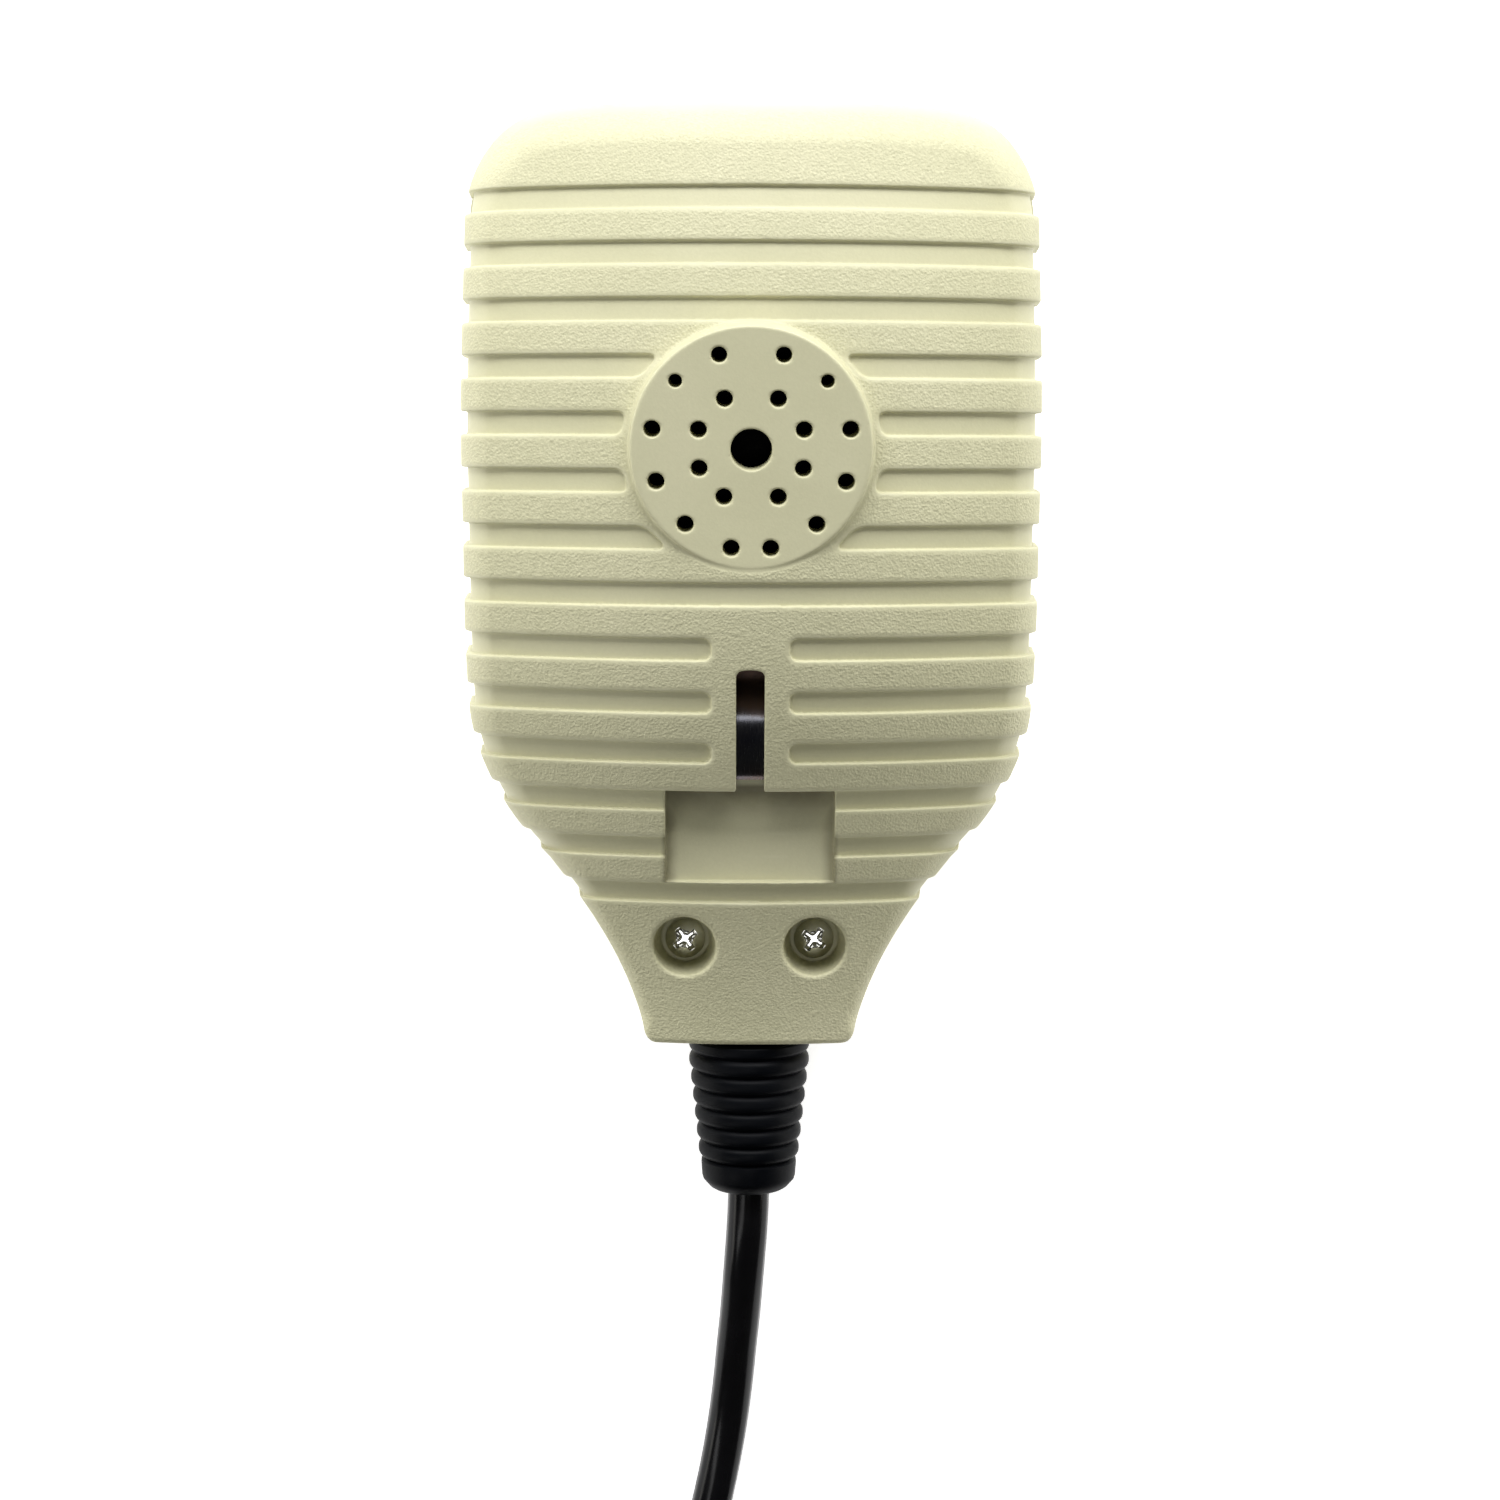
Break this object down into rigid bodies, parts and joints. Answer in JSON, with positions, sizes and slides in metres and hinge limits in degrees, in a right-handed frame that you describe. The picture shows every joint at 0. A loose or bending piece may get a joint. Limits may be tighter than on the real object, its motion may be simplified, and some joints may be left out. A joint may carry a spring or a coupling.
{
  "type": "hand microphone",
  "caption": "Hand-held radio microphone: ribbed two-part case with talk bar, hanger slot, vented disc, strain relief, curly cord and round plug.",
  "frame": {"origin": "under the middle of the case, on the surface that its front face lies on", "axes": "+Z out of the ribbed rear cover, +Y towards the case's top end, +X towards the talk bar's side"},
  "size_m": [0.0923, 0.2556, 0.0368],
  "materials": {
    "case_plastic": "warm cream moulded ABS, fine spark-eroded grain on the ribs, smooth in the grooves",
    "talk_bar_plastic": "dark grey moulded plastic, fine grain",
    "black_rubber": "satin black moulded rubber",
    "cord_jacket": "smooth glossy black PVC",
    "screw_steel": "bright zinc and chromate plated steel",
    "spring_steel": "blue-grey rolled spring steel",
    "capsule_metal": "dull spun aluminium can",
    "plug_metal": "nickel plated brass",
    "contact_brass": "tinned brass",
    "insulator": "dark phenolic moulding",
    "board": "paper phenolic board",
    "felt": "black acoustic felt",
    "grille_cloth": "black woven grille cloth",
    "lead_red": "red PVC insulation",
    "lead_white": "white PVC insulation",
    "lead_blue": "blue PVC insulation"
  },
  "bodies": {
    "case": {"rear_cover": "case_plastic", "front_cover": "case_plastic", "case_screw_left": "screw_steel", "case_screw_right": "screw_steel", "hanger_spring_screw": "screw_steel", "vent_felt": "felt", "grille_cloth": "grille_cloth", "mic_capsule": "capsule_metal", "capsule_holder": "black_rubber", "circuit_board": "board", "board_screw_left": "screw_steel", "board_screw_right": "screw_steel", "board_capacitor": "lead_blue", "board_resistor": "board", "talk_bar_pin": "screw_steel", "talk_switch_body": "insulator", "talk_switch_tag_1": "contact_brass", "talk_switch_tag_2": "contact_brass", "talk_switch_tag_3": "contact_brass", "lead_to_capsule": "lead_red", "lead_to_board": "lead_white", "lead_to_switch": "lead_blue", "strain_relief_boot": "black_rubber", "cord_inner_end": "cord_jacket", "cord_clamp": "screw_steel", "cord_clamp_screw_left": "screw_steel", "cord_clamp_screw_right": "screw_steel", "cord_tail": "cord_jacket", "cord_curl": "cord_jacket", "plug_tail": "cord_jacket", "plug_shell": "plug_metal", "plug_insert": "insulator", "plug_clamp_screw_1": "screw_steel", "plug_clamp_screw_2": "screw_steel", "plug_contact_1": "contact_brass", "plug_contact_2": "contact_brass", "plug_contact_3": "contact_brass", "plug_contact_4": "contact_brass", "plug_contact_5": "contact_brass", "plug_contact_6": "contact_brass", "plug_contact_7": "contact_brass", "plug_contact_8": "contact_brass"},
    "talk_bar": {"talk_bar": "talk_bar_plastic"},
    "talk_switch_plunger": {"talk_switch_plunger": "lead_red"},
    "talk_return_leaf": {"talk_return_leaf": "spring_steel"},
    "hanger_spring": {"hanger_spring": "spring_steel"},
    "plug_coupling_ring": {"plug_coupling_ring": "plug_metal"}
  },
  "joints": [
    {"name": "talk_bar_hinge", "type": "hinge", "parent": "case", "child": "talk_bar", "pos_m": [0.0276, -0.0052, 0.006], "axis": [0, 0, 1], "range_deg": [0, 2.4], "stiffness_Nm_per_rad": 1.2},
    {"name": "talk_switch_travel", "type": "slide", "parent": "case", "child": "talk_switch_plunger", "axis": [-1, 0, 0], "range_m": [0, 0.0006]},
    {"name": "return_leaf_flex", "type": "hinge", "parent": "case", "child": "talk_return_leaf", "pos_m": [0.0242, 0.0335, 0.0062], "axis": [0, 0, 1], "range_deg": [-6.5, 0]},
    {"name": "hanger_spring_flex", "type": "hinge", "parent": "case", "child": "hanger_spring", "pos_m": [0, -0.0099, 0.0243], "axis": [1, 0, 0], "range_deg": [0, 5], "stiffness_Nm_per_rad": 1},
    {"name": "coupling_ring_turn", "type": "hinge", "parent": "case", "child": "plug_coupling_ring", "pos_m": [0.005, -0.174, 0.0095], "axis": [0, -1, 0], "continuous": true}
  ],
  "couplings": [
    {"joint": "talk_switch_travel", "follows": "talk_bar_hinge", "m_per_rad": 0.0135},
    {"joint": "return_leaf_flex", "follows": "talk_bar_hinge", "ratio": -2.52}
  ]
}
